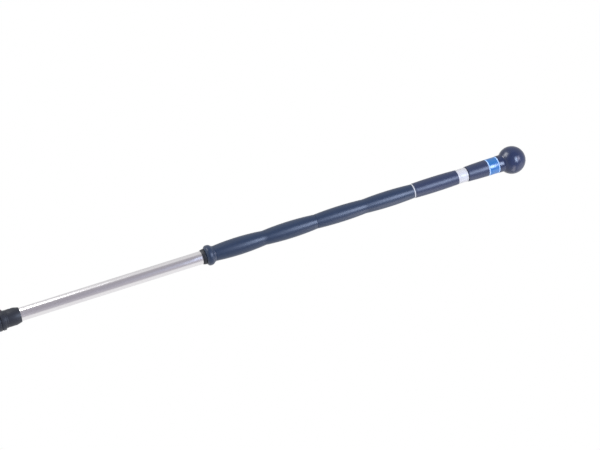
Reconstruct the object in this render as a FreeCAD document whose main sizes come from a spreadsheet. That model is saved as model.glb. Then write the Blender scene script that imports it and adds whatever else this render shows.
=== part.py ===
import FreeCAD, Part
import os
import re
import Sketcher

# Telescopic cleaning pole with a wave grip and a turning ball knob. Millimetres, +Z along the
# pole from the tool end to the ball, origin at the centre of the lower tube's open end.
# Pushed together the pole is 1.10 m long, pulled out 1.70 m.

SIZES = {
    # gaps that every fit is worked out from
    "fit_gap": 0.05,            # radial, pieces pushed or glued together
    "running_gap": 0.1,         # radial, pieces that slide or turn on each other
    "seat_gap": 0.3,            # between faces that move past or onto each other
    # lower tube, which slides out and carries the tool
    "lower_od": 20.0,
    "lower_wall": 1.2,
    "travel": 600.0,            # how far the pole pulls out
    "latch_dia": 6.5,           # cross hole for the tool's latch pin
    "latch_height": 40.0,
    "plug_length": 18.0,
    "plug_wall": 2.2,
    "stop_height": 60.0,        # the tool's socket covers the tube up to here
    "stop_length": 14.0,
    "stop_wall": 4.0,
    "stop_bevel": 2.5,
    "snap_width": 3.0,          # rolled groove that the stop collar snaps into
    "snap_depth": 0.4,
    "bush_shank": 24.0,
    "bush_head": 12.0,
    "bush_wall": 2.8,
    "seal_dia": 1.8,            # section of the ring that takes up play in the tube
    "seal_seat_depth": 1.95,
    # twist lock
    "nut_length": 52.0,
    "nut_wall": 1.7,            # under the band
    "nut_foot_wall": 0.8,
    "nut_taper": 8.0,
    "nut_lip": 2.5,
    "nut_web": 1.5,
    "wiper_length": 4.0,
    "wiper_wall": 2.6,
    "band_start": 11.0,
    "band_length": 31.0,
    "band_depth": 1.5,
    "band_rise": 0.5,
    "flute_dia": 3.0,
    "flute_bite": 0.9,
    "flute_count": 24,
    "cone_length": 12.0,
    "collet_tip_wall": 1.1,
    "collet_flange": 3.0,
    "collet_slot": 1.6,
    "collet_slots": 6,
    "nose_wall": 2.45,
    "nose_land": 14.0,          # solid end of the nose, below the upper tube
    "housing_shoulder": 6.0,
    "housing_wall": 3.45,
    "housing_length": 34.0,
    "housing_end_wall": 1.15,
    "housing_taper": 9.0,
    "rivet_dia": 4.0,
    "rivet_rise": 20.0,         # rivets above the housing's shoulder
    "rivet_reach": 0.15,        # they end this far outside the lower tube
    # upper tube
    "tube_play": 0.5,           # radial room around the lower tube
    "tube_wall": 1.0,
    "tube_length": 853.4,
    # wave grip, with the ring and the hand stop at its lower end; walls stand on the tube
    "end_ring_length": 6.2,
    "end_ring_tip_wall": 0.6,
    "end_ring_wall": 2.0,
    "groove_width": 0.6,
    "groove_wall": 0.8,
    "bead_foot_wall": 2.8,
    "bead_wall": 6.35,
    "bead_foot": 0.6,
    "bead_flank": 3.2,
    "bead_crown": 10.0,
    "bead_length": 13.0,
    "bead_shoulder_wall": 4.7,
    "stop_neck_length": 4.0,
    "grip_start_wall": 1.8,
    "swell_length_1": 91.3,
    "swell_length_2": 96.5,
    "swell_length_3": 92.4,
    "swell_length_4": 92.7,
    "swell_wall_1": 3.9,
    "swell_wall_2": 3.4,
    "swell_wall_3": 2.8,
    "swell_wall_4": 2.75,
    "waist_wall_1": 1.2,
    "waist_wall_2": 1.15,
    "waist_wall_3": 1.15,
    "waist_wall_4": 1.0,
    # sleeve above the grip, and the ring between them
    "divider_width": 2.4,
    "divider_wall": 1.2,
    "sleeve_length": 84.6,
    "sleeve_start_wall": 1.7,
    "sleeve_wall": 2.45,
    "sleeve_end_wall": 1.45,
    # bearing collar that the knob turns on
    "collar_length": 18.9,
    "collar_wall": 1.3,
    "collar_edge": 0.5,
    "shank_length": 34.0,
    "shank_pin_dia": 3.2,
    "shank_pin_drop": 17.0,
    "shank_pin_length": 4.6,
    "spindle_dia": 8.0,
    "spindle_length": 110.0,
    "spindle_head_wall": 2.5,
    "spindle_head": 6.4,
    "washer_wall": 5.0,
    "washer_thickness": 1.6,
    "thrust_step": 0.6,         # the thrust washer stands back from the collar
    "thrust_thickness": 0.8,
    # ball knob; its neck and rings stand proud of the collar below
    "core_wall": 5.0,
    "core_length": 78.0,
    "neck_length": 39.1,
    "neck_start_rise": 0.8,
    "neck_middle_rise": 1.7,
    "neck_rise": 2.05,
    "ring_wall": 1.75,
    "rim_width": 1.9,
    "rim_rise": 0.35,
    "colour_ring_width": 17.3,
    "colour_ring_rise": 0.1,
    "ball_od": 50.0,
    "ball_neck_rise": 0.55,
    "ball_rise": 30.1,          # centre of the ball above the end of the rings
    "ball_blend": 6.0,          # radius between neck and sphere
}

doc = FreeCAD.newDocument("ball_top_pole")
sheet = doc.addObject("Spreadsheet::Sheet", "Sheet")
for row, (alias, size) in enumerate(SIZES.items(), 1):
    sheet.set(f"A{row}", alias)
    sheet.set(f"B{row}", str(size))
    sheet.setAlias(f"B{row}", alias)
doc.recompute()

WORKED_OUT = {}
PIECES = []


def bound(words):
    """Turn sizes in words, such as "tube_bore + tube_wall", into an expression on the sheet.
    A word before a bracket, such as sqrt, is left as the function that it is."""
    names = r"\b[a-z]\w*\b(?!\()"
    return re.sub(names, lambda word: WORKED_OUT.get(word[0], "Sheet." + word[0]), words)


def work_out(name, words):
    """Name a radius or a height that follows from the sheet's sizes."""
    WORKED_OUT[name] = f"({bound(words)})"


def number(words):
    """The present value of sizes given in words."""
    return float(sheet.evalExpression(bound(words)))


# radii that more than one piece uses
work_out("lower_r", "lower_od / 2")
work_out("lower_bore", "lower_r - lower_wall")
work_out("slide_bore", "lower_r + running_gap")
work_out("clear_bore", "lower_r + seat_gap")
work_out("tube_bore", "lower_r + tube_play")
work_out("tube_r", "tube_bore + tube_wall")
work_out("on_tube", "tube_r + fit_gap")
work_out("nose_r", "on_tube + nose_wall")
work_out("nut_bore", "nose_r + seat_gap")
work_out("band_seat", "nut_bore + nut_wall")
work_out("nut_r", "band_seat + band_depth")
work_out("wiper_r", "slide_bore + wiper_wall")
work_out("housing_r", "on_tube + housing_wall")
work_out("collar_r", "tube_r + collar_wall")
work_out("spindle_r", "spindle_dia / 2")
work_out("core_r", "spindle_r + core_wall")
work_out("on_core", "core_r + fit_gap")
work_out("neck_r", "collar_r + neck_rise")
work_out("ring_seat_r", "neck_r - ring_wall")
work_out("ball_r", "ball_od / 2")
work_out("ball_neck_r", "neck_r + ball_neck_rise")

# heights along the pole, from the tool end up
work_out("nut_base", "stop_height + stop_length + seat_gap")
work_out("cone_rise", "nut_lip + wiper_length + nut_web")
work_out("collet_base", "nut_base + cone_rise + seat_gap")
work_out("housing_base", "nut_base + cone_rise + cone_length + collet_flange")
work_out("shoulder_rise", "nut_base + nut_length + seat_gap - housing_base")
work_out("tube_base", "housing_base + nose_land")
work_out("tube_top", "tube_base + tube_length")
work_out("rivet_height", "housing_base + shoulder_rise + rivet_rise")
work_out("lower_length", "rivet_height + rivet_dia / 2 + seat_gap + travel")
work_out("sleeve_base", "tube_top - sleeve_length")
work_out("divider_base", "sleeve_base - divider_width")
work_out("grip_length", "swell_length_1 + swell_length_2 + swell_length_3 + swell_length_4")
work_out("grip_base", "divider_base - grip_length")
work_out("hand_stop_base", "grip_base - bead_length - stop_neck_length")
work_out("end_ring_base", "hand_stop_base - groove_width - end_ring_length")
work_out("shank_base", "tube_top - shank_length")
work_out("shank_pin_height", "tube_top - shank_pin_drop")
work_out("thrust_base", "tube_top + collar_length")
work_out("knob_base", "thrust_base + thrust_thickness + seat_gap")
work_out("rings_base", "knob_base + neck_length")
work_out("rings_length", "rim_width + colour_ring_width + rim_width")
work_out("ball_base", "rings_base + rings_length")
work_out("washer_base", "shank_base - seat_gap - washer_thickness")


def attach(sketch, body, plane):
    """Lay a sketch on one of its body's own origin planes."""
    faces = {feature.Role: feature for feature in body.Origin.OriginFeatures}
    sketch.AttachmentSupport = [(faces[plane], "")]
    sketch.MapMode = "FlatFace"


def place(sketch, item, point, across, up):
    """Hold one point of a sketch at two sizes given in words; a plain 0 puts it on the axis."""
    for kind, words, axis in (("DistanceX", across, -2), ("DistanceY", up, -1)):
        if words == "0":
            sketch.addConstraint(Sketcher.Constraint("PointOnObject", item, point, axis))
            continue
        held = Sketcher.Constraint(kind, -1, 1, item, point, number(words))
        index = sketch.addConstraint(held)
        sketch.setExpression(f"Constraints[{index}]", bound(words))


def draw_outline(sketch, outline):
    """Draw a closed outline from (across, up) corners. A corner marked "by" isn't a corner: the
    outline passes it on an arc from the corner before to the corner after."""
    def spot(stop):
        return FreeCAD.Vector(number(stop[0]), number(stop[1]), 0)

    items = []
    corners = []
    for here, stop in enumerate(outline):
        if stop[2:] == ("by",):
            continue
        ahead = outline[(here + 1) % len(outline)]
        if ahead[2:] == ("by",):
            beyond = outline[(here + 2) % len(outline)]
            items.append(sketch.addGeometry(Part.Arc(spot(stop), spot(ahead), spot(beyond))))
            # an arc is stored anticlockwise, so its first end may be the far corner
            first = sketch.getPoint(items[-1], 1)
            starts_here = first.distanceToPoint(spot(stop)) < first.distanceToPoint(spot(beyond))
            passed = sketch.addGeometry(Part.Point(spot(ahead)), True)
            place(sketch, passed, 1, *ahead[:2])
            sketch.addConstraint(Sketcher.Constraint("PointOnObject", passed, 1, items[-1]))
        else:
            items.append(sketch.addGeometry(Part.LineSegment(spot(stop), spot(ahead))))
            starts_here = True
        near, far = (1, 2) if starts_here else (2, 1)
        corners.append((items[-1], near, far, stop))
    for here, (item, near, far, stop) in enumerate(corners):
        before, _, its_far, _ = corners[here - 1]
        sketch.addConstraint(Sketcher.Constraint("Coincident", before, its_far, item, near))
        place(sketch, item, near, *stop[:2])


def new_body(name, base):
    """A body that stands at a height along the pole."""
    body = doc.addObject("PartDesign::Body", name)
    body.Label = name
    body.setExpression("Placement.Base.z", bound(base))
    PIECES.append(body)
    return body


def turned(name, base, outline):
    """A piece of revolution about the pole's axis, from (radius, height) corners."""
    body = new_body(name, base)
    sketch = body.newObject("Sketcher::SketchObject", name + "_outline")
    attach(sketch, body, "XZ_Plane")
    draw_outline(sketch, outline)
    turn = body.newObject("PartDesign::Revolution", name + "_turned")
    turn.Profile = sketch
    turn.ReferenceAxis = (sketch, ["V_Axis"])
    turn.Angle = 360
    doc.recompute()
    return body


def ring(name, base, bore, outside, length):
    """A plain ring or sleeve."""
    return turned(name, base, [(bore, "0"), (outside, "0"), (outside, length), (bore, length)])


def cut(body, name, plane, draw, both_ways=False, depth=None):
    """Cut a drawn shape out of a body, right through or to a depth, and see that it cuts."""
    whole = body.Shape.Volume
    sketch = body.newObject("Sketcher::SketchObject", name + "_outline")
    attach(sketch, body, plane)
    draw(sketch)
    pocket = body.newObject("PartDesign::Pocket", name)
    pocket.Profile = sketch
    pocket.SideType = "Symmetric" if both_ways else "One side"
    pocket.Type = "Length" if depth else "ThroughAll"
    if depth:
        pocket.setExpression("Length", bound(depth))
    pocket.Reversed = not both_ways
    doc.recompute()
    if not body.Shape.Volume < whole:
        raise RuntimeError(f"{name} cuts nothing out of {body.Label}")
    return pocket


def circle(across, up, radius):
    """A drawing of one circle, for cut."""
    def draw(sketch):
        centre = FreeCAD.Vector(number(across), number(up), 0)
        size = number(radius)
        item = sketch.addGeometry(Part.Circle(centre, FreeCAD.Vector(0, 0, 1), size))
        place(sketch, item, 3, across, up)
        index = sketch.addConstraint(Sketcher.Constraint("Radius", item, size))
        sketch.setExpression(f"Constraints[{index}]", bound(radius))
    return draw


def cross_hole(body, name, height, diameter):
    """A hole straight across the pole, along X."""
    cut(body, name, "YZ_Plane", circle("0", height, f"{diameter} / 2"), both_ways=True)


def around(body, feature, count):
    """Repeat a cut evenly around the pole's axis."""
    pattern = body.newObject("PartDesign::PolarPattern", feature.Name + "s")
    pattern.Originals = [feature]
    pattern.Axis = (feature.Profile[0], ["N_Axis"])
    pattern.Angle = 360
    pattern.setExpression("Occurrences", bound(count))
    body.Tip = pattern
    doc.recompute()


def cross_pins(name, height, radius, inner, outer):
    """Two short pins on opposite sides of the pole, along X."""
    pins = []
    for side, sign in (("right", ""), ("left", "-")):
        pin = doc.addObject("Part::Cylinder", f"{name}_{side}")
        pin.setExpression("Radius", bound(radius))
        pin.setExpression("Height", bound(f"{outer} - ({inner})"))
        turn = 90 if side == "right" else -90
        pin.Placement.Rotation = FreeCAD.Rotation(FreeCAD.Vector(0, 1, 0), turn)
        pin.setExpression("Placement.Base.x", sign + bound(f"({inner})"))
        pin.setExpression("Placement.Base.z", bound(height))
        pins.append(pin)
    pair = doc.addObject("Part::Compound", name)
    pair.Label = name
    pair.Links = pins
    PIECES.append(pair)
    doc.recompute()


# Lower tube: drawn aluminium, cross-drilled near its open end for the tool's latch pin, with a
# shallow groove rolled in for the stop collar.
snap_r = "lower_r - snap_depth"
snap_end = "stop_height + snap_width"
lower_tube = turned("lower_tube", "0", [
    ("lower_bore", "0"), ("lower_r", "0"), ("lower_r", "stop_height"), (snap_r, "stop_height"),
    (snap_r, snap_end), ("lower_r", snap_end), ("lower_r", "lower_length"),
    ("lower_bore", "lower_length")])
cross_hole(lower_tube, "latch_hole", "latch_height", "latch_dia")

# Moulded cup driven into the open end.
plug_r = "lower_bore - fit_gap"
plug_hollow = "lower_bore - fit_gap - plug_wall"
turned("tool_end_plug", "0", [
    ("0", "0"), (plug_r, "0"), (plug_r, "plug_length"), (plug_hollow, "plug_length"),
    (plug_hollow, "plug_wall"), ("0", "plug_wall")])

# Collar snapped on the lower tube: the lock rests on it when the pole is pushed together.
stop_r = "lower_r + stop_wall"
turned("stop_collar", "stop_height", [
    (snap_r + " + fit_gap", "0"), (stop_r + " - stop_bevel", "0"), (stop_r, "stop_bevel"),
    (stop_r, "stop_length - 1"), (stop_r + " - 1", "stop_length"),
    ("lower_r + fit_gap", "stop_length"), ("lower_r + fit_gap", "snap_width - fit_gap"),
    (snap_r + " + fit_gap", "snap_width - fit_gap")])

# Guide bush in the top of the lower tube, running in the upper tube on a soft seal ring.
bush_r = "tube_bore - running_gap"
seal_seat = "tube_bore - running_gap - seal_seat_depth"
seal_low = "bush_shank + bush_head / 2 - seal_dia / 2 - fit_gap"
seal_high = "bush_shank + bush_head / 2 + seal_dia / 2 + fit_gap"
turned("guide_bush", "lower_length - bush_shank", [
    ("lower_bore - bush_wall", "0"), ("lower_bore - fit_gap", "0"), ("lower_bore - fit_gap", "bush_shank"),
    (bush_r, "bush_shank"), (bush_r, seal_low), (seal_seat, seal_low), (seal_seat, seal_high),
    (bush_r, seal_high), (bush_r, "bush_shank + bush_head"),
    ("lower_bore - bush_wall", "bush_shank + bush_head")])

guide_seal = doc.addObject("Part::Torus", "guide_seal")
guide_seal.Label = "guide_seal"
guide_seal.setExpression("Radius2", bound("seal_dia / 2"))
guide_seal.setExpression("Radius1", bound("tube_bore - running_gap - seal_dia / 2 - fit_gap"))
guide_seal.setExpression("Placement.Base.z", bound("lower_length + bush_head / 2"))
PIECES.append(guide_seal)

# Lock nut: turned by hand, its cone squeezes the collet onto the lower tube.
band_end = "band_start + band_length"
wiper_seat = "wiper_r + fit_gap"
wiper_end = "nut_lip + wiper_length"
turned("lock_nut", "nut_base", [
    ("clear_bore", "0"), ("wiper_r + nut_foot_wall", "0"), ("nut_r", "nut_taper"), ("nut_r", "band_start"),
    ("band_seat", "band_start"), ("band_seat", band_end), ("nut_r", band_end),
    ("nut_r", "nut_length - 1"), ("nut_r - 1", "nut_length"), ("nut_bore", "nut_length"),
    ("nut_bore", "cone_rise + cone_length"), ("slide_bore + collet_tip_wall + seat_gap", "cone_rise"),
    ("clear_bore", "cone_rise"), ("clear_bore", wiper_end), (wiper_seat, wiper_end),
    (wiper_seat, "nut_lip"), ("clear_bore", "nut_lip")])

# Rubber band around the nut, fluted for a wet hand.
band_r = "nut_r + band_rise"
nut_band = turned("nut_band", "nut_base + band_start + fit_gap", [
    ("band_seat + fit_gap", "0"), (band_r + " - 0.6", "0"), (band_r, "0.6"),
    (band_r, "band_length - 2 * fit_gap - 0.6"), (band_r + " - 0.6", "band_length - 2 * fit_gap"),
    ("band_seat + fit_gap", "band_length - 2 * fit_gap")])
flute = circle(band_r + " + flute_dia / 2 - flute_bite", "0", "flute_dia / 2")
around(nut_band, cut(nut_band, "flute", "XY_Plane", flute), "flute_count")

# Rubber wiper in the nut's lip, which keeps water and grit out of the lock.
ring("wiper_ring", "nut_base + nut_lip", "slide_bore", "wiper_r", "wiper_length")

# Collet: moulded fingers with a cone outside, under the nose of the lock housing.
collet_cone = "cone_length - seat_gap"
collet_r = "nut_bore - seat_gap - 0.1"
lock_collet = turned("lock_collet", "collet_base", [
    ("slide_bore", "0"), ("slide_bore + collet_tip_wall", "0"), (collet_r, collet_cone),
    (collet_r, collet_cone + " + collet_flange"), ("slide_bore", collet_cone + " + collet_flange")])


def collet_slot_outline(sketch):
    """One slot, from the axis out past the collet."""
    half = "collet_slot / 2"
    draw_outline(sketch, [
        ("0", "-" + half), ("2 * nose_r", "-" + half), ("2 * nose_r", half), ("0", half)])


slot = cut(lock_collet, "slot", "XY_Plane", collet_slot_outline, depth=collet_cone)
around(lock_collet, slot, "collet_slots")

# Lock housing: a threaded nose inside the nut and a socket over the end of the upper tube.
socket_end = "shoulder_rise + housing_length"
lock_housing = turned("lock_housing", "housing_base", [
    ("slide_bore", "0"), ("nose_r", "0"), ("nose_r", "shoulder_rise"),
    ("nut_r - 1", "shoulder_rise"), ("nut_r", "shoulder_rise + 1"),
    ("nut_r", "shoulder_rise + housing_shoulder"),
    ("housing_r", "shoulder_rise + housing_shoulder + 3"),
    ("housing_r", socket_end + " - housing_taper"), ("on_tube + housing_end_wall", socket_end),
    ("on_tube", socket_end), ("on_tube", "nose_land"), ("slide_bore", "nose_land")])
cross_hole(lock_housing, "rivet_hole", "shoulder_rise + rivet_rise", "rivet_dia")

# Upper tube: drawn aluminium from the lock to the bearing collar.
upper_tube = ring("upper_tube", "tube_base", "tube_bore", "tube_r", "tube_length")
cross_hole(upper_tube, "rivet_hole_in_tube", "rivet_height - tube_base", "rivet_dia")
cross_hole(upper_tube, "pin_hole_in_tube", "tube_length - shank_pin_drop", "shank_pin_dia")

# Rivets through housing and tube; their inner ends stop the guide bush at full reach.
cross_pins("lock_rivets", "rivet_height", "rivet_dia / 2 - fit_gap", "lower_r + rivet_reach",
           "housing_r - fit_gap")

# Ring at the foot of the grip, with a narrow groove before the hand stop.
turned("grip_end_ring", "end_ring_base", [
    ("on_tube", "0"), ("tube_r + end_ring_tip_wall", "0"),
    ("tube_r + end_ring_wall - 0.3", "end_ring_length / 2", "by"),
    ("tube_r + end_ring_wall", "end_ring_length - 0.3"), ("tube_r + groove_wall", "end_ring_length"),
    ("tube_r + groove_wall", "end_ring_length + groove_width"),
    ("on_tube", "end_ring_length + groove_width")])

# Hand stop: a bead that keeps the lower hand from slipping off the grip.
bead_r = "tube_r + bead_wall"
grip_start_r = "tube_r + grip_start_wall"
turned("hand_stop", "hand_stop_base", [
    ("on_tube", "0"), ("tube_r + bead_foot_wall - 1", "0"), ("tube_r + bead_foot_wall", "bead_foot"),
    (bead_r + " - 0.5", "bead_flank"), (bead_r, "(bead_flank + bead_crown) / 2", "by"),
    (bead_r + " - 0.5", "bead_crown"), ("tube_r + bead_shoulder_wall", "bead_length - 1"),
    ("tube_r + bead_shoulder_wall - 1.2", "bead_length"),
    (grip_start_r + " + 0.7", "bead_length + stop_neck_length * 0.45", "by"),
    (grip_start_r, "bead_length + stop_neck_length"),
    ("on_tube", "bead_length + stop_neck_length")])

# Wave grip: four swells, one for each place that a hand can take hold.
grip_outline = [("on_tube", "0"), (grip_start_r, "0")]
swell_start = "0"
for swell in range(1, 5):
    swell_end = f"{swell_start} + swell_length_{swell}"
    crown = f"{swell_start} + swell_length_{swell} / 2"
    grip_outline.append((f"tube_r + swell_wall_{swell}", crown, "by"))
    grip_outline.append((f"tube_r + waist_wall_{swell}", swell_end))
    swell_start = swell_end
grip_outline.append(("on_tube", "grip_length"))
turned("wave_grip", "grip_base", grip_outline)

# Pale ring that divides the two grips, and the short sleeve above it.
ring("divider_ring", "divider_base", "on_tube", "tube_r + divider_wall", "divider_width")
turned("upper_sleeve", "sleeve_base", [
    ("on_tube", "0"), ("tube_r + sleeve_start_wall", "0"),
    ("tube_r + sleeve_wall", "sleeve_length / 2", "by"),
    ("tube_r + sleeve_end_wall", "sleeve_length"), ("on_tube", "sleeve_length")])

# Bearing collar: its shank is pinned in the top of the tube and the knob's spindle runs in it.
collar_end = "shank_length + collar_length"
bearing_collar = turned("bearing_collar", "shank_base", [
    ("spindle_r + running_gap", "0"), ("tube_bore - fit_gap", "0"), ("tube_bore - fit_gap", "shank_length"),
    ("collar_r", "shank_length"), ("collar_r", collar_end + " - collar_edge"),
    ("collar_r - collar_edge", collar_end), ("spindle_r + running_gap", collar_end)])
cross_hole(bearing_collar, "pin_hole", "shank_length - shank_pin_drop", "shank_pin_dia")
cross_pins("collar_pins", "shank_pin_height", "shank_pin_dia / 2 - fit_gap",
           "tube_r - 0.2 - shank_pin_length", "tube_r - 0.2")

# Thrust washer on the collar, under the knob.
ring("thrust_washer", "thrust_base", "spindle_r + running_gap", "collar_r - thrust_step", "thrust_thickness")

# Spindle: a cap screw up through the collar into the knob's core, with its washer.
head_base = "washer_base - spindle_head"
head_r = "spindle_r + spindle_head_wall"
turned("spindle", head_base, [
    ("0", "0"), (head_r, "0"), (head_r, "spindle_head"),
    ("spindle_r", "spindle_head"), ("spindle_r", "spindle_head + spindle_length"),
    ("0", "spindle_head + spindle_length")])
ring("spindle_washer", "washer_base", "spindle_r + fit_gap", "spindle_r + washer_wall", "washer_thickness")

# Core of the knob, threaded on the spindle; neck and ball are pressed on it.
screw_depth = "washer_base + spindle_length - knob_base + seat_gap"
turned("knob_core", "knob_base", [
    ("spindle_r + fit_gap", "0"), ("core_r", "0"), ("core_r", "core_length"), ("0", "core_length"),
    ("0", screw_depth), ("spindle_r + fit_gap", screw_depth)])

# Neck of the knob: a flared shell with a seat for the colour ring and its rims.
turned("knob_neck", "knob_base", [
    ("on_core", "0"), ("collar_r + neck_start_rise", "0"),
    ("collar_r + neck_middle_rise", "neck_length / 2", "by"),
    ("neck_r", "neck_length"), ("ring_seat_r", "neck_length"),
    ("ring_seat_r", "neck_length + rings_length"), ("on_core", "neck_length + rings_length")])

# Colour ring between two pale rims, changed to mark the room that the pole is used in.
ring_bore = "ring_seat_r + fit_gap"
rim_r = "neck_r + rim_rise"
upper_rim_base = "rings_base + rim_width + colour_ring_width"
for rim, rim_base in (("lower_rim", "rings_base"), ("upper_rim", upper_rim_base)):
    turned(rim, rim_base, [
        (ring_bore, "0"), (rim_r + " - 0.4", "0"), (rim_r, "rim_width / 2", "by"),
        (rim_r + " - 0.4", "rim_width"), (ring_bore, "rim_width")])
ring("colour_ring", "rings_base + rim_width", ring_bore, "neck_r + colour_ring_rise", "colour_ring_width")

# Ball: phenolic, socketed on the core, its short neck blended into the sphere. The blend's arc
# touches neck and sphere; lean and lift are the cosine and sine of where it meets the sphere.
work_out("lean", "(ball_neck_r + ball_blend) / (ball_r + ball_blend)")
work_out("lift", "sqrt(1 - lean ^ 2)")
blend_base = "ball_rise - (ball_r + ball_blend) * lift"
socket = "knob_base + core_length - ball_base + seat_gap"
turned("ball_knob", "ball_base", [
    ("on_core", "0"), ("ball_neck_r", "0"), ("ball_neck_r", blend_base),
    ("ball_neck_r + ball_blend * (1 - sqrt((1 + lean) / 2))",
     blend_base + " + ball_blend * sqrt((1 - lean) / 2)", "by"),
    ("ball_r * lean", "ball_rise - ball_r * lift"), ("ball_r", "ball_rise", "by"),
    ("0", "ball_rise + ball_r"), ("0", socket), ("on_core", socket)])


def check(document):
    """Stop if anything in the document failed or any piece isn't a sound solid."""
    for item in document.Objects:
        if {"Invalid", "Error"} & set(item.State):
            raise RuntimeError(f"{item.Label} failed: {item.State}")
    for piece in PIECES:
        if piece.Shape.isNull() or not piece.Shape.isValid() or not piece.Shape.Solids:
            raise RuntimeError(f"{piece.Label} is not a sound solid")


doc.recompute()
check(doc)
os.makedirs("parts", exist_ok=True)
for piece in PIECES:
    piece.Shape.exportStep(f"parts/{piece.Label}.step")
    box = piece.Shape.BoundBox
    print(f"{piece.Label}: {box.ZMin:.1f} to {box.ZMax:.1f}, across {box.XLength:.1f}")
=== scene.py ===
from math import cos, pi, radians, sin

import bpy
from mathutils import Matrix, Vector


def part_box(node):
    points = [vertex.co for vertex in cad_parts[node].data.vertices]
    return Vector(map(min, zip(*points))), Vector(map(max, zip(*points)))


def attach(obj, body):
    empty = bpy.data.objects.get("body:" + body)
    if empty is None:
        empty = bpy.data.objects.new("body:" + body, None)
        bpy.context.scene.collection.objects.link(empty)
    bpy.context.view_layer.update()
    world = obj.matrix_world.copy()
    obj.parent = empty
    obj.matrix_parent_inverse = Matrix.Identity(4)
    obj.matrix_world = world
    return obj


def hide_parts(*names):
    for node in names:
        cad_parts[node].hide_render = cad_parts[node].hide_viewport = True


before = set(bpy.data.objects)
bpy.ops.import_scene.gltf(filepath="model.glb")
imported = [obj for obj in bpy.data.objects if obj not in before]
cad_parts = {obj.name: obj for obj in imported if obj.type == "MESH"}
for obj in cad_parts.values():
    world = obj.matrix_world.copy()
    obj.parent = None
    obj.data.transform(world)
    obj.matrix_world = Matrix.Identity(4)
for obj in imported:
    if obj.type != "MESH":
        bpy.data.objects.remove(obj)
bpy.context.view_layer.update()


# ---- Lower tube -----------------------------------------------------------------------------
# Drawn aluminium, 20 mm across, clear anodised. It slides out of the upper tube and carries the
# tool: the ends are faced and broken, and a cross hole takes the tool's latch pin.

MM = 0.001


def arc(start, by, end, parts):
    """Points on the circle through three (radius, height) points, from after start to end."""
    (ax, ay), (bx, by_), (cx, cy) = start, by, end
    twice = 2 * (ax * (by_ - cy) + bx * (cy - ay) + cx * (ay - by_))
    a, b, c = ax**2 + ay**2, bx**2 + by_**2, cx**2 + cy**2
    centre_x = (a * (by_ - cy) + b * (cy - ay) + c * (ay - by_)) / twice
    centre_y = (a * (cx - bx) + b * (ax - cx) + c * (bx - ax)) / twice
    first, middle, last = (Vector((x - centre_x, y - centre_y)) for x, y in (start, by, end))
    turn = first.angle_signed(middle) + middle.angle_signed(last)
    points = []
    for part in range(1, parts + 1):
        angle = -turn * part / parts
        x = first.x * cos(angle) - first.y * sin(angle)
        y = first.x * sin(angle) + first.y * cos(angle)
        points.append((centre_x + x, centre_y + y))
    return points


def turned(name, base, outline, steps=144, edge=0.25):
    """Turn a piece: a ring is extruded from corner to corner of the outline, (radius, height above
    the base) in millimetres, welded where it closes, and its sharp edges are rounded by edge."""
    bpy.ops.object.select_all(action="DESELECT")
    radius, level = outline[0]
    bpy.ops.mesh.primitive_circle_add(vertices=steps, radius=radius * MM, location=(0, 0, level * MM))
    piece = bpy.context.object
    piece.name = name
    piece.data.name = name
    bpy.ops.object.transform_apply(location=True, rotation=True, scale=True)
    bpy.ops.object.mode_set(mode="EDIT")
    bpy.ops.mesh.select_all(action="SELECT")
    for wide, high in outline[1:]:
        bpy.ops.mesh.extrude_region_move(TRANSFORM_OT_translate={"value": (0, 0, (high - level) * MM)})
        bpy.ops.transform.resize(value=(wide / radius, wide / radius, 1), center_override=(0, 0, 0))
        radius, level = max(wide, 1e-6), high
    bpy.ops.mesh.select_all(action="SELECT")
    bpy.ops.mesh.remove_doubles(threshold=0.00001)
    bpy.ops.mesh.normals_make_consistent(inside=False)
    bpy.ops.object.mode_set(mode="OBJECT")
    piece.location.z = base
    bpy.ops.object.transform_apply(location=True, rotation=False, scale=False)
    if edge:
        bevel = piece.modifiers.new("broken_edges", "BEVEL")
        bevel.width = edge * MM
        bevel.segments = 3
        bevel.limit_method = "ANGLE"
        bevel.angle_limit = radians(25)
        bpy.ops.object.modifier_apply(modifier=bevel.name)
    bpy.ops.object.shade_smooth_by_angle(angle=radians(30))
    return piece


def closed(outline):
    """An outline that comes back to its first corner."""
    return outline + outline[:1]


def fit_out(piece, body, slot, material, *nodes):
    """Give a piece its material, hang it on the body it rides on, and hide the CAD nodes it stands for."""
    piece.data.materials.clear()
    piece.data.materials.append(material)
    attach(piece, body)
    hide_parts(*nodes)


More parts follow.
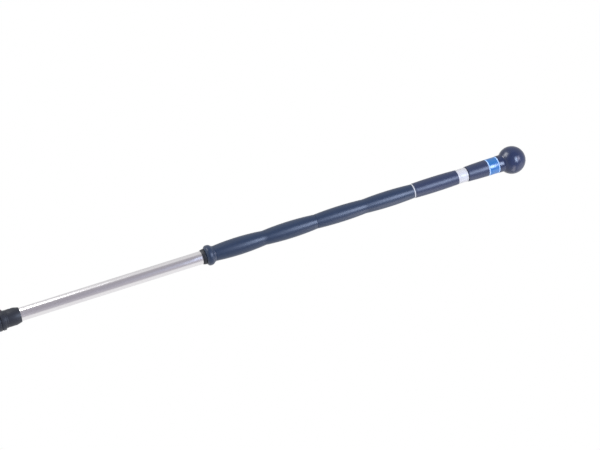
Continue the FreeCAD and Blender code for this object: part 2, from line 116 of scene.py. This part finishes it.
class Shade:
    """A socket among a material's nodes. Sums written with it add Math nodes."""

    def __init__(self, tree, socket):
        self.tree = tree
        self.socket = socket

    def node(self, kind, settings=None, sockets=None, output=0):
        """Add a node: its settings first, then values or links for its sockets."""
        made = self.tree.nodes.new(kind)
        for name, setting in (settings or {}).items():
            if name == "stops":
                ramp = made.color_ramp.elements
                while len(ramp) < len(setting):
                    ramp.new(1.0)
                for stop, (place, colour) in zip(ramp, setting):
                    stop.position = place
                    stop.color = (*colour, 1)
            else:
                setattr(made, name, setting)
        for name, value in (sockets or {}).items():
            if isinstance(value, Shade):
                self.tree.links.new(value.socket, made.inputs[name])
            else:
                made.inputs[name].default_value = value
        return Shade(self.tree, made.outputs[output])

    def math(self, operation, first, second):
        return self.node("ShaderNodeMath", {"operation": operation}, {0: first, 1: second})

    def __add__(self, other):
        return self.math("ADD", self, other)

    def __sub__(self, other):
        return self.math("SUBTRACT", self, other)

    def __rsub__(self, other):
        return self.math("SUBTRACT", other, self)

    def __mul__(self, other):
        return self.math("MULTIPLY", self, other)

    __radd__ = __add__
    __rmul__ = __mul__

    def along(self, axis):
        """One coordinate of a point: 0, 1 or 2."""
        return self.node("ShaderNodeSeparateXYZ", {}, {0: self}, axis)

    def near(self, place, half):
        """1 where the value is within half of a place, fading to 0 just outside it."""
        offset = self - place
        away = offset.math("ABSOLUTE", offset, 0.0)
        return away.between(1, 0, half, half * 1.6)

    def noise(self, scale, detail=2.0, stretch=(1, 1, 1)):
        """Noise on the piece, with features of about 1/scale metres, stretched along an axis."""
        spread = self.node("ShaderNodeVectorMath", {"operation": "MULTIPLY"}, {0: self, 1: stretch})
        return self.node("ShaderNodeTexNoise", {}, {"Vector": spread, "Scale": scale, "Detail": detail})

    def between(self, low, high, from_low=0.0, from_high=1.0):
        """Spread a value from one range to another, and keep it inside."""
        return self.node("ShaderNodeMapRange", {}, {
            "Value": self, "From Min": from_low, "From Max": from_high, "To Min": low, "To Max": high})

    def mix(self, first, second):
        """Mix two colours, more of the second where this value is high."""
        return self.node("ShaderNodeMix", {"data_type": "RGBA"}, {0: self, 6: first, 7: second}, 2)


class Finish:
    """A material with its shader, and the point on the piece, in metres, that its patterns read."""

    def __init__(self, name, **constants):
        self.material = bpy.data.materials.new(name)
        self.material.use_nodes = True
        tree = self.material.node_tree
        self.shader = tree.nodes["Principled BSDF"]
        place = tree.nodes.new("ShaderNodeTexCoord")
        self.point = Shade(tree, place.outputs["Object"])
        for socket, value in constants.items():
            self.shader.inputs[socket.replace("_", " ")].default_value = value

    def feed(self, socket, value):
        self.point.tree.links.new(value.socket, self.shader.inputs[socket])

    def bump(self, height, distance, strength=1.0):
        """Raise the surface by height, a value of 0 to 1, times distance in metres."""
        raised = self.point.node("ShaderNodeBump", {}, {
            "Height": height, "Distance": distance, "Strength": strength})
        self.feed("Normal", raised)


def drawn_aluminium():
    """Anodised tube: fine lines along its length from the die, and a few rubbed patches."""
    finish = Finish("drawn_aluminium", Metallic=1.0, IOR=1.45)
    lines = finish.point.noise(1400, 3, (1, 1, 0.012))
    scuffs = finish.point.noise(90, 4, (1, 1, 0.25))
    rubbed = scuffs.between(0, 1, 0.52, 0.75)
    tone = lines * 0.6 + rubbed * 0.4
    finish.feed("Base Color", tone.mix((0.80, 0.785, 0.80, 1), (0.72, 0.70, 0.725, 1)))
    finish.feed("Roughness", lines.between(0.17, 0.27) + rubbed * 0.08)
    finish.bump(lines, 0.000012)
    return finish.material


aluminium = drawn_aluminium()
lower_low, lower_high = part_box("lower_tube")
lower_wall = 1.2
lower_r = lower_high.x / MM
lower_length = (lower_high.z - lower_low.z) / MM
lower_bore_r = lower_r - lower_wall
lower_tube = turned("lower_tube_drawn", lower_low.z, closed([
    (lower_bore_r, 0), (lower_r, 0), (lower_r, lower_length), (lower_bore_r, lower_length)]))
latch_r, latch_height = 3.25, 40 * MM


def cut_away(piece, bit):
    """Cut a bit out of a piece and throw the bit away."""
    hole = piece.modifiers.new("cut_away", "BOOLEAN")
    hole.operation = "DIFFERENCE"
    hole.object = bit
    hole.solver = "EXACT"
    bpy.ops.object.select_all(action="DESELECT")
    bpy.context.view_layer.objects.active = piece
    piece.select_set(True)
    bpy.ops.object.modifier_apply(modifier=hole.name)
    bpy.data.objects.remove(bit)
    bpy.ops.object.shade_smooth_by_angle(angle=radians(30))


def drill(piece, radius, height):
    """Drill straight across a piece, from side to side through the pole's axis."""
    bpy.ops.object.select_all(action="DESELECT")
    bpy.ops.mesh.primitive_cylinder_add(
        vertices=48, radius=radius * MM, depth=80 * MM, location=(0, 0, height), rotation=(0, pi / 2, 0))
    cut_away(piece, bpy.context.object)


drill(lower_tube, latch_r, latch_height)
fit_out(lower_tube, "lower_section", "satin_aluminium", aluminium, "lower_tube")


# ---- Tool end plug --------------------------------------------------------------------------
# Black moulded cup driven into the open end of the lower tube. Its floor is dished so that the
# pole stands on the tube's own rim.

def moulded(name, colour, deeper, roughness, ior=1.47):
    """Moulded plastic with a fine grain, and cloudy patches at random that are a little darker and
    rougher.
    """
    finish = Finish(name, IOR=ior)
    spots = finish.point.noise(2600, 2)
    cloud = finish.point.noise(34, 3)
    finish.feed("Base Color", cloud.between(0, 1, 0.3, 0.7).mix((*colour, 1), (*deeper, 1)))
    finish.feed("Roughness", cloud.between(roughness - 0.04, roughness + 0.05, 0.3, 0.7) + spots * 0.06)
    finish.bump(spots, 0.00002)
    return finish.material


black_plastic = moulded("black_plastic", (0.012, 0.0135, 0.018), (0.009, 0.010, 0.014), 0.48)
plug_low, plug_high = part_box("tool_end_plug")
plug_r, plug_length, plug_wall = plug_high.x / MM, (plug_high.z - plug_low.z) / MM, 2.2
tool_plug = turned("tool_end_plug_moulded", plug_low.z, [
    (1e-6, 0.6), (5.2, 0.6), (5.8, 0), (plug_r, 0), (plug_r, plug_length),
    (plug_r - plug_wall, plug_length), (plug_r - plug_wall, plug_wall), (1e-6, plug_wall)], edge=0.2)
fit_out(tool_plug, "lower_section", "dark_plastic", black_plastic, "tool_end_plug")


# ---- Stop collar ----------------------------------------------------------------------------
# Black moulded ring snapped into a groove of the lower tube. Its lower face is coned, and two
# shallow rings are turned in it for the fingers that snap it home.

stop_low, stop_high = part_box("stop_collar")
stop_r, stop_length = stop_high.x / MM, (stop_high.z - stop_low.z) / MM
stop_outline = [(lower_r + 0.05, 0), (stop_r - 2.5, 0), (stop_r, 2.5)]
for groove in (5.6, 8.8):
    stop_outline += [(stop_r, groove - 0.6), (stop_r - 0.5, groove), (stop_r, groove + 0.6)]
stop_outline += [(stop_r, stop_length - 1), (stop_r - 1, stop_length), (lower_r + 0.05, stop_length)]
stop_collar = turned("stop_collar_moulded", stop_low.z, closed(stop_outline))
fit_out(stop_collar, "lower_section", "dark_plastic", black_plastic, "stop_collar")


# ---- Guide bush and its seal ----------------------------------------------------------------
# Natural acetal bush and black rubber seal at the top of the lower tube, which guide it in the
# upper one. Both are out of sight, so they keep the CAD's shape and only get their finish.

def rubber(name, colour):
    """Matt rubber, dusty where it isn't rubbed."""
    finish = Finish(name, IOR=1.52)
    dust = finish.point.noise(420, 4)
    finish.feed("Base Color", dust.between(0, 1, 0.42, 0.72).mix((*colour, 1), (0.036, 0.036, 0.038, 1)))
    finish.feed("Roughness", dust.between(0.62, 0.82))
    finish.bump(dust, 0.00004)
    return finish.material


natural = moulded("natural_acetal", (0.74, 0.735, 0.70), (0.68, 0.675, 0.64), 0.36)
black_rubber = rubber("black_rubber", (0.016, 0.016, 0.017))
for node, finish in (("guide_bush", natural), ("guide_seal", black_rubber)):
    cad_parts[node].data.materials[0] = finish


# ---- Lock nut -------------------------------------------------------------------------------
# Black moulded nut that is twisted to squeeze the collet. Its foot curves in towards the tool,
# and a narrow step rings it on each side of the rubber band.

lock_plastic = moulded("lock_plastic", (0.014, 0.017, 0.026), (0.011, 0.013, 0.020), 0.42)
nut_low, nut_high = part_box("lock_nut")
band_low, band_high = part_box("nut_band")
nut_r, nut_length, band_r = nut_high.x / MM, (nut_high.z - nut_low.z) / MM, band_high.x / MM
seat_r = band_r - 2
seat_low, seat_high = (band_low.z - nut_low.z) / MM, (band_high.z - nut_low.z) / MM
clear_bore, nut_bore = 10.3, 14.3
nut = turned("lock_nut_moulded", nut_low.z, closed([
    (clear_bore, 0), (13.5, 0), *arc((13.5, 0), (16.1, 3.6), (nut_r, 8), 8), (nut_r, seat_low - 1.2),
    (nut_r - 0.4, seat_low - 0.8), (nut_r - 0.4, seat_low), (seat_r, seat_low), (seat_r, seat_high),
    (nut_r - 0.4, seat_high), (nut_r - 0.4, seat_high + 0.8), (nut_r, seat_high + 1.2),
    (nut_r, nut_length - 1), (nut_r - 1, nut_length), (nut_bore, nut_length), (nut_bore, 20.3),
    (clear_bore + 0.9, 8), (clear_bore, 8)]))
fit_out(nut, "lock_ring", "lock_plastic", lock_plastic, "lock_nut")


# ---- Nut band -------------------------------------------------------------------------------
# Black rubber band stretched over the nut, with round flutes along it for a wet hand. One bit
# for each flute is set around the band, and all are cut from it at once.

band_length = (band_high.z - band_low.z) / MM
nut_band = turned("nut_band_moulded", band_low.z, closed([
    (seat_r, 0), (band_r - 0.6, 0), (band_r, 0.6), (band_r, band_length - 0.6),
    (band_r - 0.6, band_length), (seat_r, band_length)]), steps=192, edge=0.2)
flute_count, flute_r, flute_bite = 24, 1.5, 0.9
reach = (band_r + flute_r - flute_bite) * MM
bits = []
for flute in range(flute_count):
    turn = 2 * pi * flute / flute_count
    bpy.ops.mesh.primitive_cylinder_add(
        vertices=32, radius=flute_r * MM, depth=0.05,
        location=(reach * cos(turn), reach * sin(turn), (band_low.z + band_high.z) / 2))
    bits.append(bpy.context.object)
bpy.ops.object.select_all(action="DESELECT")
for bit in bits:
    bit.select_set(True)
bpy.context.view_layer.objects.active = bits[0]
bpy.ops.object.join()

cut_away(nut_band, bits[0])
fit_out(nut_band, "lock_ring", "black_rubber", black_rubber, "nut_band")


# ---- Wiper ring and collet ------------------------------------------------------------------
# Inside the nut: a rubber wiper in its lip, and the split acetal collet that it squeezes on the
# lower tube. Both are out of sight, so they keep the CAD's shape and only get their finish.

for node, finish in (("wiper_ring", black_rubber), ("lock_collet", natural)):
    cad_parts[node].data.materials[0] = finish


# ---- Lock housing ---------------------------------------------------------------------------
# Black moulded socket over the end of the upper tube, with a flange above the nut and a coned
# end. Two steel rivets hold it to the tube.

house_low, house_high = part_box("lock_housing")
house_length = (house_high.z - house_low.z) / MM
shoulder = (nut_high.z - house_low.z) / MM + 0.3
slide_bore, on_tube, nose_r, house_r, land = 10.1, 11.55, 14.0, 15.0, 14.0
housing = turned("lock_housing_moulded", house_low.z, closed([
    (slide_bore, 0), (nose_r, 0), (nose_r, shoulder), (nut_r - 1, shoulder), (nut_r, shoulder + 1),
    (nut_r, shoulder + 6), *arc((nut_r, shoulder + 6), (15.6, shoulder + 7.2), (house_r, shoulder + 9), 5),
    (house_r, shoulder + 11.6), (house_r - 0.4, shoulder + 12), (house_r - 0.4, shoulder + 12.6),
    (house_r, shoulder + 13), (house_r, house_length - 9), (12.7, house_length), (on_tube, house_length),
    (on_tube, land), (slide_bore, land)]))
rivet_low, rivet_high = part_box("lock_rivets")
drill(housing, (rivet_high.z - rivet_low.z) / MM / 2, (rivet_high.z + rivet_low.z) / 2)
fit_out(housing, "upper_section", "lock_plastic", lock_plastic, "lock_housing")


def bright_metal(name, colour, roughness):
    """Turned or drawn steel, with the fine rings that the tool left."""
    finish = Finish(name, Metallic=1.0)
    rings = finish.point.noise(1900, 2, (0.02, 0.02, 1))
    finish.feed("Base Color", rings.mix((*colour, 1), tuple(0.86 * part for part in colour) + (1,)))
    finish.feed("Roughness", rings.between(roughness - 0.05, roughness + 0.07))
    finish.bump(rings, 0.000008)
    return finish.material


steel = bright_metal("bright_steel", (0.62, 0.61, 0.60), 0.28)
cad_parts["lock_rivets"].data.materials[0] = steel


# ---- Upper tube -----------------------------------------------------------------------------
# The same drawn aluminium, 23 mm across: the bright length below the grip, which carries the
# mouldings of both hands. Its ends are faced and broken.

upper_low, upper_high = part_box("upper_tube")
tube_r, tube_wall = upper_high.x / MM, 1.0
tube_length = (upper_high.z - upper_low.z) / MM
upper_tube = turned("upper_tube_drawn", upper_low.z, closed([
    (tube_r - tube_wall, 0), (tube_r, 0), (tube_r, tube_length), (tube_r - tube_wall, tube_length)]))
fit_out(upper_tube, "upper_section", "satin_aluminium", aluminium, "upper_tube")


# ---- Grip end ring --------------------------------------------------------------------------
# Near-black plastic ring that closes the grip's lower end on the tube, rounded towards the tube
# and grooved where the hand stop begins.

ring_low, ring_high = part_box("grip_end_ring")
ring_r, ring_length = ring_high.x / MM, (ring_high.z - ring_low.z) / MM
ring_top = ring_length - 0.6
end_ring = turned("grip_end_ring_moulded", ring_low.z, closed([
    (on_tube, 0), (tube_r + 0.6, 0),
    *arc((tube_r + 0.6, 0), (ring_r - 0.3, ring_top / 2), (ring_r, ring_top - 0.3), 10),
    (ring_r - 0.3, ring_top), (tube_r + 0.8, ring_top), (tube_r + 0.8, ring_length),
    (on_tube, ring_length)]), edge=0.1)
fit_out(end_ring, "upper_section", "dark_plastic", black_plastic, "grip_end_ring")


# ---- Hand stop ------------------------------------------------------------------------------
# Navy soft-touch bead that keeps the lower hand on the grip: a steep lower flank, a rounded
# crown, a shoulder and a hollow that runs out into the first swell.

def soft_touch(name, colour, deeper, roughness, shaded_seams=()):
    """Soft plastic over the tube. The two mould halves leave a line down each side, and at each seam
    height, where the mould's cores meet, a thin ring of the darker colour is painted shade."""
    finish = Finish(name, IOR=1.47, Sheen_Weight=0.04, Sheen_Roughness=0.5)
    spots = finish.point.noise(2400, 2)
    cloud = finish.point.noise(30, 3)
    parting = finish.point.along(1).near(0.0, 0.00012)
    tone = cloud.between(0, 0.6, 0.3, 0.7)
    for seam in shaded_seams:
        # painted shade: a thin ring of the darker colour at each seam height, standing in for the groove's
        # shade
        tone = tone + finish.point.along(2).near(seam, 0.0005) * 1.6
    finish.feed("Base Color", tone.mix((*colour, 1), (*deeper, 1)))
    finish.feed("Roughness", cloud.between(roughness - 0.03, roughness + 0.04, 0.3, 0.7) + spots * 0.06)
    finish.bump(spots * 0.25 + parting * 0.75, 0.00008)
    return finish.material


grip_low, grip_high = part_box("wave_grip")
swell_lengths = (91.3, 96.5, 92.4, 92.7)
seam = grip_low.z + (swell_lengths[0] + swell_lengths[1]) * MM
# The grip's navy has a painted shade line around the groove at the seam height.
grip_navy = soft_touch("navy_soft_touch", (0.0110, 0.0250, 0.057), (0.0093, 0.0218, 0.050), 0.34, (seam,))
hand_low, hand_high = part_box("hand_stop")
bead_r, hand_length = hand_high.x / MM, (hand_high.z - hand_low.z) / MM
grip_foot_r = 13.3
hand_stop = turned("hand_stop_moulded", hand_low.z, closed([
    (on_tube, 0), (bead_r - 4.55, 0), (bead_r - 3.55, 0.6), (bead_r - 0.5, 3.2),
    *arc((bead_r - 0.5, 3.2), (bead_r, 6.6), (bead_r - 0.5, 10), 10), (16.2, 12), (15, 13),
    *arc((15, 13), (grip_foot_r + 0.7, 14.8), (grip_foot_r, hand_length), 8),
    (on_tube, hand_length)]), edge=0.6)
fit_out(hand_stop, "upper_section", "navy_grip", grip_navy, "hand_stop")


# ---- Wave grip ------------------------------------------------------------------------------
# Soft-touch plastic moulded over the tube in four swells, each one hand long, with a fine groove
# around the second waist where two cores of the mould meet.

waist_radii = (grip_foot_r, 12.7, 12.65, 12.65, 12.5)
swell_radii = (15.4, 14.9, 14.3, 14.25)
grip_outline = [(on_tube, 0), (waist_radii[0], 0)]
foot = 0
for swell, length in enumerate(swell_lengths):
    end = (waist_radii[swell + 1], foot + length)
    grip_outline += arc(grip_outline[-1], (swell_radii[swell], foot + length / 2), end, 20)
    if swell == 1:
        grip_outline[-1:] = [(end[0] + 0.01, end[1] - 0.4), (end[0] - 0.3, end[1] - 0.15),
                             (end[0] - 0.3, end[1] + 0.15), (end[0] + 0.01, end[1] + 0.4)]
    foot += length
grip_outline.append((on_tube, foot))
wave_grip = turned("wave_grip_moulded", grip_low.z, closed(grip_outline), edge=0)
fit_out(wave_grip, "upper_section", "navy_grip", grip_navy, "wave_grip")


# ---- Divider ring ---------------------------------------------------------------------------
# Pale plastic ring, pushed on the tube between the long grip and the sleeve above it. It stands
# a little proud of both, and its edges are rounded.

pale_plastic = moulded("pale_plastic", (0.465, 0.46, 0.46), (0.415, 0.41, 0.41), 0.34)
divider_low, divider_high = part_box("divider_ring")
divider_r, divider_width = divider_high.x / MM, (divider_high.z - divider_low.z) / MM
divider = turned("divider_ring_moulded", divider_low.z, closed([
    (on_tube, 0), (divider_r - 0.3, 0), (divider_r, 0.3), (divider_r, divider_width - 0.3),
    (divider_r - 0.3, divider_width), (on_tube, divider_width)]), edge=0.15)
fit_out(divider, "upper_section", "pale_ring", pale_plastic, "divider_ring")


# ---- Upper sleeve ---------------------------------------------------------------------------
# A shorter grip for the upper hand, moulded over the tube. It is barrelled a little, and its
# navy is duller than the long grip's.

sleeve_navy = soft_touch("navy_sleeve", (0.0165, 0.0260, 0.062), (0.0135, 0.0220, 0.055), 0.355)
sleeve_low, sleeve_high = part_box("upper_sleeve")
sleeve_r, sleeve_length = sleeve_high.x / MM, (sleeve_high.z - sleeve_low.z) / MM
sleeve = turned("upper_sleeve_moulded", sleeve_low.z, closed([
    (on_tube, 0), (13.2, 0), *arc((13.2, 0), (sleeve_r, sleeve_length / 2), (12.95, sleeve_length), 24),
    (on_tube, sleeve_length)]), edge=0.35)
fit_out(sleeve, "upper_section", "navy_grip", sleeve_navy, "upper_sleeve")


# ---- Bearing collar -------------------------------------------------------------------------
# Pale collar that the ball's neck turns on. A band stands proud at each edge, set off by a fine
# groove; the shank below is pinned inside the tube.

collar_low, collar_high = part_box("bearing_collar")
collar_r = collar_high.x / MM
shank, collar_end = (upper_high.z - collar_low.z) / MM, (collar_high.z - collar_low.z) / MM
spindle_bore = 4.1
band, mid_r, groove_r = 2.7, collar_r - 0.12, collar_r - 0.35
collar_outline = [(spindle_bore, 0), (tube_r - 1.05, 0), (tube_r - 1.05, shank), (collar_r, shank)]
lower_groove, upper_groove = shank + band + 0.2, collar_end - band - 0.2
for middle, below, above in ((lower_groove, collar_r, mid_r), (upper_groove, mid_r, collar_r)):
    collar_outline += [(below, middle - 0.2), (groove_r, middle - 0.1),
                       (groove_r, middle + 0.1), (above, middle + 0.2)]
collar_outline += [(collar_r, collar_end - 0.5), (collar_r - 0.5, collar_end), (spindle_bore, collar_end)]
collar = turned("bearing_collar_moulded", collar_low.z, closed(collar_outline), edge=0.12)
fit_out(collar, "upper_section", "pale_ring", pale_plastic, "bearing_collar")


# ---- Collar pins, thrust washer and spindle -------------------------------------------------
# Steel pins that hold the collar, the steel spindle that the knob turns on, and plastic parts
# round it. All are inside, so they keep the CAD's shape and only get their finish.

for node, finish in (("collar_pins", steel), ("spindle", steel), ("spindle_washer", steel),
                     ("thrust_washer", black_plastic), ("knob_core", black_plastic)):
    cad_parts[node].data.materials[0] = finish


# ---- Knob neck ------------------------------------------------------------------------------
# Navy moulded shell, pressed on the knob's core. It flares from the collar to the rings, and
# has a turned-down seat for them.

neck_low, neck_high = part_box("knob_neck")
rims_low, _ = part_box("lower_rim")
neck_r, neck_length = neck_high.x / MM, (neck_high.z - neck_low.z) / MM
flare, core_bore, ring_seat = (rims_low.z - neck_low.z) / MM, 9.05, neck_r - 1.75
neck = turned("knob_neck_moulded", neck_low.z, closed([
    (core_bore, 0), (13.6, 0), *arc((13.6, 0), (14.5, flare / 2), (neck_r, flare), 16),
    (ring_seat, flare), (ring_seat, neck_length), (core_bore, neck_length)]), edge=0.3)
fit_out(neck, "knob", "navy_knob", sleeve_navy, "knob_neck")


# ---- Rims and colour ring -------------------------------------------------------------------
# A glossy blue ring marks the room that the pole is used in, held between two pale blue rims
# with rounded edges. All three sit on the neck's seat.

rim_plastic = moulded("pale_blue_rim", (0.36, 0.52, 0.74), (0.31, 0.47, 0.69), 0.30)
for rim in ("lower_rim", "upper_rim"):
    rim_low, rim_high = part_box(rim)
    rim_r, rim_width = rim_high.x / MM, (rim_high.z - rim_low.z) / MM
    rounded = turned(rim + "_moulded", rim_low.z, closed([
        (ring_seat + 0.05, 0), (rim_r - 0.4, 0),
        *arc((rim_r - 0.4, 0), (rim_r, rim_width / 2), (rim_r - 0.4, rim_width), 8),
        (ring_seat + 0.05, rim_width)]), edge=0.1)
    fit_out(rounded, "knob", "pale_rim", rim_plastic, rim)

blue_plastic = moulded("blue_plastic", (0.013, 0.118, 0.32), (0.011, 0.106, 0.29), 0.20, ior=1.65)
blue_low, blue_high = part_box("colour_ring")
blue_r, blue_width = blue_high.x / MM, (blue_high.z - blue_low.z) / MM
blue_ring = turned("colour_ring_moulded", blue_low.z, closed([
    (ring_seat + 0.05, 0), (blue_r - 0.15, 0), (blue_r, 0.15), (blue_r, blue_width - 0.15),
    (blue_r - 0.15, blue_width), (ring_seat + 0.05, blue_width)]), edge=0.1)
fit_out(blue_ring, "knob", "blue_ring", blue_plastic, "colour_ring")


# ---- Ball knob ------------------------------------------------------------------------------
# Phenolic ball, moulded with its own short neck and polished, for the palm of the upper hand.
# The neck runs into the sphere in a hollow; a bore from below takes the knob's core.

def phenolic(name, colour, deeper):
    """Polished phenolic: cloudy below the surface, with hairline marks from cloths."""
    finish = Finish(name, IOR=1.5)
    cloud = finish.point.noise(48, 4)
    hair = finish.point.noise(260, 4, (1, 0.08, 1))
    finish.feed("Base Color", cloud.between(0, 1, 0.35, 0.65).mix((*colour, 1), (*deeper, 1)))
    finish.feed("Roughness", hair.between(0.23, 0.31, 0.4, 0.7))
    finish.bump(hair, 0.00001)
    return finish.material


ball_low, ball_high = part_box("ball_knob")
ball_r, ball_neck_r, hollow = ball_high.x / MM, 15.4, 6.0
ball_rise = (ball_high.z - ball_low.z) / MM - ball_r
lean = (ball_neck_r + hollow) / (ball_r + hollow)
lift = (1 - lean**2) ** 0.5
hollow_base = ball_rise - (ball_r + hollow) * lift
meets = (ball_r * lean, ball_rise - ball_r * lift)
half_way = (ball_neck_r + hollow * (1 - ((1 + lean) / 2) ** 0.5),
            hollow_base + hollow * ((1 - lean) / 2) ** 0.5)
socket = 17.9
ball = turned("ball_knob_moulded", ball_low.z, [
    (1e-6, socket), (core_bore, socket), (core_bore, 0), (ball_neck_r - 0.4, 0), (ball_neck_r, 0.4),
    (ball_neck_r, hollow_base), *arc((ball_neck_r, hollow_base), half_way, meets, 10),
    *arc(meets, (ball_r, ball_rise), (1e-6, ball_rise + ball_r), 72)], steps=192, edge=0)
ball_navy = phenolic("navy_phenolic", (0.0125, 0.0215, 0.060), (0.0105, 0.0185, 0.052))
fit_out(ball, "knob", "navy_ball", ball_navy, "ball_knob")


# ---- Studio ---------------------------------------------------------------------------------
# A pole that stands on a small pale floor in a white room. The camera looks up along it a
# little and is rolled over, so that the pole runs up to the right, its ball end the farther.

aim_height, aim_up, distance = 0.6634, 0.0026, 3.025
tilt, roll = radians(15.3), radians(72.55)
ahead = Vector((0, cos(tilt), sin(tilt)))
level_right = Vector((1, 0, 0))
level_up = level_right.cross(ahead)
right = level_right * cos(roll) + level_up * sin(roll)
up = level_up * cos(roll) - level_right * sin(roll)
aim = Vector((0, 0, aim_height)) + up * aim_up
camera = bpy.data.objects.new("camera", bpy.data.cameras.new("camera"))
camera.data.lens = 105
camera.data.sensor_width = 36
camera.data.clip_end = 50
camera.matrix_world = Matrix.Translation(aim - ahead * distance) @ Matrix(
    (right, up, -ahead)).transposed().to_4x4()
bpy.context.scene.collection.objects.link(camera)
bpy.context.scene.camera = camera


ball_middle = Vector((0, 0, 1.075))


def soft_box(name, towards, reach, wide, tall, power, colour):
    """A soft lamp that shines at the ball from a direction, level across."""
    lamp = bpy.data.objects.new(name, bpy.data.lights.new(name, "AREA"))
    lamp.data.shape = "RECTANGLE"
    lamp.data.size = wide
    lamp.data.size_y = tall
    lamp.data.energy = power
    lamp.data.color = colour
    aside = Vector(towards).normalized()
    lamp.location = ball_middle + aside * reach
    lamp.rotation_euler = aside.to_track_quat("Z", "Y").to_euler()
    bpy.context.scene.collection.objects.link(lamp)


soft_box("low_lamp", (-0.82, -0.17, -0.554), 3.4, 1.7, 1.7, 72, (1, 1, 1))
soft_box("high_lamp", (0.06, -0.77, 0.64), 1.4, 0.66, 0.42, 8.0, (0.84, 0.83, 1.0))
soft_box("front_lamp", (0.26, -2.0, 0.60), 2.1, 1.3, 0.6, 50, (0.62, 0.74, 1.0))
soft_box("end_lamp", (0.78, -0.10, 0.62), 2.0, 1.6, 1.6, 6, (1.0, 0.96, 1.0))
soft_box("side_lamp", (0.60, -0.12, -0.06), 0.6, 0.56, 0.17, 0.8, (1.0, 0.95, 1.0))

# The room is pale behind the pole and grey on the near side. Its backdrop is white where the
# camera, or a surface that mirrors it at a low slant, looks straight at it.
world = bpy.data.worlds.new("white_room")
world.use_nodes = True
bpy.context.scene.world = world
tree = world.node_tree
sky = tree.nodes["Background"]
direction = Shade(tree, tree.nodes.new("ShaderNodeTexCoord").outputs["Generated"])
nearer = direction.along(1).between(1, 0, -1, 1)
room = nearer.node("ShaderNodeValToRGB", {"stops": [
    (0.0, (0.80, 0.80, 0.80)), (0.68, (0.80, 0.80, 0.80)), (0.80, (0.45, 0.435, 0.465)),
    (1.0, (0.41, 0.39, 0.43))]}, {0: nearer})
sided = room.node("ShaderNodeVectorMath", {"operation": "SCALE"}, {
    "Vector": room, "Scale": direction.along(0).between(1, 1.25, 0.1, 0.6)})
paths = tree.nodes.new("ShaderNodeLightPath")
seen = Shade(tree, paths.outputs["Is Camera Ray"])
mirrored = Shade(tree, paths.outputs["Is Glossy Ray"])
backdrop = direction.along(1).between(0, 1, 0.8, 1)
white = seen + mirrored * backdrop
tree.links.new(white.mix(sided, (1, 1, 1, 1)).socket, sky.inputs["Color"])

# The floor is whole round the pole's foot and fades out towards its rim.
floor_r, solid_r = 0.75, 0.3
bpy.ops.object.select_all(action="DESELECT")
bpy.ops.mesh.primitive_circle_add(
    vertices=128, radius=floor_r, fill_type="NGON", location=(0, 0, -0.001))
floor = bpy.context.object
floor.name = "floor"
floor_finish = Finish("pale_floor", Roughness=0.6)
spot = floor_finish.point
away = spot.node("ShaderNodeVectorMath", {"operation": "LENGTH"}, {"Vector": spot}, 1)
floor_finish.feed("Alpha", away.between(1, 0, solid_r, floor_r - 0.01))
floor_finish.feed("Base Color", spot.noise(3, 2).mix((0.86, 0.86, 0.86, 1), (0.83, 0.83, 0.835, 1)))
floor.data.materials.append(floor_finish.material)

bpy.context.scene.view_settings.view_transform = "Standard"
